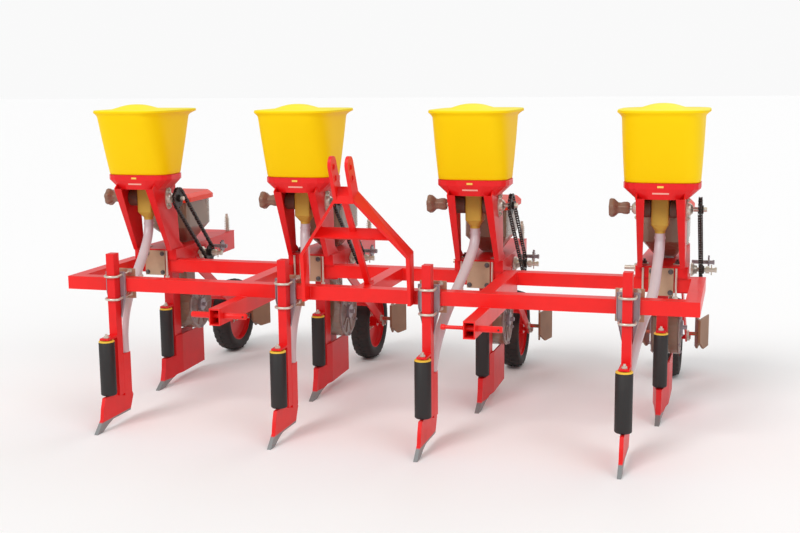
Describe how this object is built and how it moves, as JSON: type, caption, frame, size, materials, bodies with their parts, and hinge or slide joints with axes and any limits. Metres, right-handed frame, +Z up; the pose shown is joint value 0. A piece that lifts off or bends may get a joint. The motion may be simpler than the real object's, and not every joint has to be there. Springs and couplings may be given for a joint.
{
  "type": "corn planter",
  "caption": "Tractor-mounted corn planter: rows of fertilizer hoppers, seed boxes, hoe openers and ground wheels on a ladder toolbar with a hitch mast.",
  "frame": {"origin": "centre of the bounding box's footprint, on the ground under the opener points and tyres", "axes": "+X to the machine's left-to-right as seen from the tractor side, along the toolbar; +Y from the hitch to the ground wheels at the rear; +Z up"},
  "size_m": [2.407, 1.627, 1.1963],
  "materials": {
    "frame_red": "gloss enamel",
    "row_red": "gloss enamel",
    "hopper_yellow": "moulded",
    "lid_yellow": "moulded",
    "meter_cream": "moulded",
    "shaft_steel": "oiled",
    "hose": "milky flexible PVC",
    "roller_rubber": "smooth",
    "seed_plastic": "smoky translucent plastic",
    "lid_orange": "moulded",
    "tyre": "treaded"
  },
  "bodies": {
    "frame": {"main_frame": "frame_red", "hitch_mast": "frame_red", "lower_pin_left": "frame_red", "lower_pin_right": "frame_red", "fert_hopper_1": "hopper_yellow", "fert_meter_1": "meter_cream", "fert_hose_1": "hose", "fert_opener_1": "row_red", "unit_frame_1": "row_red", "seed_box_1": "seed_plastic", "seed_opener_1": "row_red", "fert_hopper_2": "hopper_yellow", "fert_meter_2": "meter_cream", "fert_hose_2": "hose", "fert_opener_2": "row_red", "unit_frame_2": "row_red", "seed_box_2": "seed_plastic", "seed_opener_2": "row_red", "fert_hopper_3": "hopper_yellow", "fert_meter_3": "meter_cream", "fert_hose_3": "hose", "fert_opener_3": "row_red", "unit_frame_3": "row_red", "seed_box_3": "seed_plastic", "seed_opener_3": "row_red", "fert_hopper_4": "hopper_yellow", "fert_meter_4": "meter_cream", "fert_hose_4": "hose", "fert_opener_4": "row_red", "unit_frame_4": "row_red", "seed_box_4": "seed_plastic", "seed_opener_4": "row_red"},
    "hopper_lid_1": {"hopper_lid_1": "lid_yellow"},
    "seed_lid_1": {"seed_lid_1": "lid_orange"},
    "feed_1": {"feed_shaft_1": "shaft_steel"},
    "fert_roller_1": {"fert_roller_1": "roller_rubber"},
    "seed_roller_1": {"seed_roller_1": "roller_rubber"},
    "fork_1": {"wheel_arm_1": "row_red"},
    "wheel_1": {"drive_wheel_1": "tyre"},
    "hopper_lid_2": {"hopper_lid_2": "lid_yellow"},
    "seed_lid_2": {"seed_lid_2": "lid_orange"},
    "feed_2": {"feed_shaft_2": "shaft_steel"},
    "fert_roller_2": {"fert_roller_2": "roller_rubber"},
    "seed_roller_2": {"seed_roller_2": "roller_rubber"},
    "fork_2": {"wheel_arm_2": "row_red"},
    "wheel_2": {"drive_wheel_2": "tyre"},
    "hopper_lid_3": {"hopper_lid_3": "lid_yellow"},
    "seed_lid_3": {"seed_lid_3": "lid_orange"},
    "feed_3": {"feed_shaft_3": "shaft_steel"},
    "fert_roller_3": {"fert_roller_3": "roller_rubber"},
    "seed_roller_3": {"seed_roller_3": "roller_rubber"},
    "fork_3": {"wheel_arm_3": "row_red"},
    "wheel_3": {"drive_wheel_3": "tyre"},
    "hopper_lid_4": {"hopper_lid_4": "lid_yellow"},
    "seed_lid_4": {"seed_lid_4": "lid_orange"},
    "feed_4": {"feed_shaft_4": "shaft_steel"},
    "fert_roller_4": {"fert_roller_4": "roller_rubber"},
    "seed_roller_4": {"seed_roller_4": "roller_rubber"},
    "fork_4": {"wheel_arm_4": "row_red"},
    "wheel_4": {"drive_wheel_4": "tyre"}
  },
  "joints": [
    {"name": "hopper_lid_hinge_1", "type": "hinge", "parent": "frame", "child": "hopper_lid_1", "pos_m": [-1.015, 0.074, 1.17], "axis": [-1, 0, 0], "range_deg": [0, 100]},
    {"name": "seed_lid_hinge_1", "type": "hinge", "parent": "frame", "child": "seed_lid_1", "pos_m": [-1.015, 0.271, 0.787], "axis": [-1, 0, 0], "range_deg": [0, 100]},
    {"name": "wheel_spin_1", "type": "hinge", "parent": "fork_1", "child": "wheel_1", "pos_m": [-1.015, 0.642, 0.172], "axis": [1, 0, 0], "continuous": true},
    {"name": "feed_spin_1", "type": "hinge", "parent": "frame", "child": "feed_1", "pos_m": [-1.015, -0.148, 0.815], "axis": [1, 0, 0], "continuous": true},
    {"name": "fork_swing_1", "type": "hinge", "parent": "frame", "child": "fork_1", "pos_m": [-1.015, 0.072, 0.535], "axis": [1, 0, 0], "range_deg": [-12, 12]},
    {"name": "fert_roller_spin_1", "type": "hinge", "parent": "frame", "child": "fert_roller_1", "pos_m": [-0.94, -0.665, 0.23], "axis": [0, 0, 1], "continuous": true},
    {"name": "seed_roller_spin_1", "type": "hinge", "parent": "frame", "child": "seed_roller_1", "pos_m": [-1.015, -0.044, 0.23], "axis": [0, 0, 1], "continuous": true},
    {"name": "hopper_lid_hinge_2", "type": "hinge", "parent": "frame", "child": "hopper_lid_2", "pos_m": [-0.329, 0.074, 1.17], "axis": [-1, 0, 0], "range_deg": [0, 100]},
    {"name": "seed_lid_hinge_2", "type": "hinge", "parent": "frame", "child": "seed_lid_2", "pos_m": [-0.329, 0.271, 0.787], "axis": [-1, 0, 0], "range_deg": [0, 100]},
    {"name": "wheel_spin_2", "type": "hinge", "parent": "fork_2", "child": "wheel_2", "pos_m": [-0.329, 0.642, 0.172], "axis": [1, 0, 0], "continuous": true},
    {"name": "feed_spin_2", "type": "hinge", "parent": "frame", "child": "feed_2", "pos_m": [-0.329, -0.148, 0.815], "axis": [1, 0, 0], "continuous": true},
    {"name": "fork_swing_2", "type": "hinge", "parent": "frame", "child": "fork_2", "pos_m": [-0.329, 0.072, 0.535], "axis": [1, 0, 0], "range_deg": [-12, 12]},
    {"name": "fert_roller_spin_2", "type": "hinge", "parent": "frame", "child": "fert_roller_2", "pos_m": [-0.254, -0.665, 0.23], "axis": [0, 0, 1], "continuous": true},
    {"name": "seed_roller_spin_2", "type": "hinge", "parent": "frame", "child": "seed_roller_2", "pos_m": [-0.329, -0.044, 0.23], "axis": [0, 0, 1], "continuous": true},
    {"name": "hopper_lid_hinge_3", "type": "hinge", "parent": "frame", "child": "hopper_lid_3", "pos_m": [0.357, 0.074, 1.17], "axis": [-1, 0, 0], "range_deg": [0, 100]},
    {"name": "seed_lid_hinge_3", "type": "hinge", "parent": "frame", "child": "seed_lid_3", "pos_m": [0.357, 0.271, 0.787], "axis": [-1, 0, 0], "range_deg": [0, 100]},
    {"name": "wheel_spin_3", "type": "hinge", "parent": "fork_3", "child": "wheel_3", "pos_m": [0.357, 0.642, 0.172], "axis": [1, 0, 0], "continuous": true},
    {"name": "feed_spin_3", "type": "hinge", "parent": "frame", "child": "feed_3", "pos_m": [0.357, -0.148, 0.815], "axis": [1, 0, 0], "continuous": true},
    {"name": "fork_swing_3", "type": "hinge", "parent": "frame", "child": "fork_3", "pos_m": [0.357, 0.072, 0.535], "axis": [1, 0, 0], "range_deg": [-12, 12]},
    {"name": "fert_roller_spin_3", "type": "hinge", "parent": "frame", "child": "fert_roller_3", "pos_m": [0.282, -0.665, 0.23], "axis": [0, 0, 1], "continuous": true},
    {"name": "seed_roller_spin_3", "type": "hinge", "parent": "frame", "child": "seed_roller_3", "pos_m": [0.357, -0.044, 0.23], "axis": [0, 0, 1], "continuous": true},
    {"name": "hopper_lid_hinge_4", "type": "hinge", "parent": "frame", "child": "hopper_lid_4", "pos_m": [1.043, 0.074, 1.17], "axis": [-1, 0, 0], "range_deg": [0, 100]},
    {"name": "seed_lid_hinge_4", "type": "hinge", "parent": "frame", "child": "seed_lid_4", "pos_m": [1.043, 0.271, 0.787], "axis": [-1, 0, 0], "range_deg": [0, 100]},
    {"name": "wheel_spin_4", "type": "hinge", "parent": "fork_4", "child": "wheel_4", "pos_m": [1.043, 0.642, 0.172], "axis": [1, 0, 0], "continuous": true},
    {"name": "feed_spin_4", "type": "hinge", "parent": "frame", "child": "feed_4", "pos_m": [1.043, -0.148, 0.815], "axis": [1, 0, 0], "continuous": true},
    {"name": "fork_swing_4", "type": "hinge", "parent": "frame", "child": "fork_4", "pos_m": [1.043, 0.072, 0.535], "axis": [1, 0, 0], "range_deg": [-12, 12]},
    {"name": "fert_roller_spin_4", "type": "hinge", "parent": "frame", "child": "fert_roller_4", "pos_m": [0.968, -0.665, 0.23], "axis": [0, 0, 1], "continuous": true},
    {"name": "seed_roller_spin_4", "type": "hinge", "parent": "frame", "child": "seed_roller_4", "pos_m": [1.043, -0.044, 0.23], "axis": [0, 0, 1], "continuous": true}
  ],
  "couplings": [
    {"joint": "feed_spin_1", "follows": "wheel_spin_1", "ratio": 0.5},
    {"joint": "feed_spin_2", "follows": "wheel_spin_2", "ratio": 0.5},
    {"joint": "feed_spin_3", "follows": "wheel_spin_3", "ratio": 0.5},
    {"joint": "feed_spin_4", "follows": "wheel_spin_4", "ratio": 0.5}
  ]
}
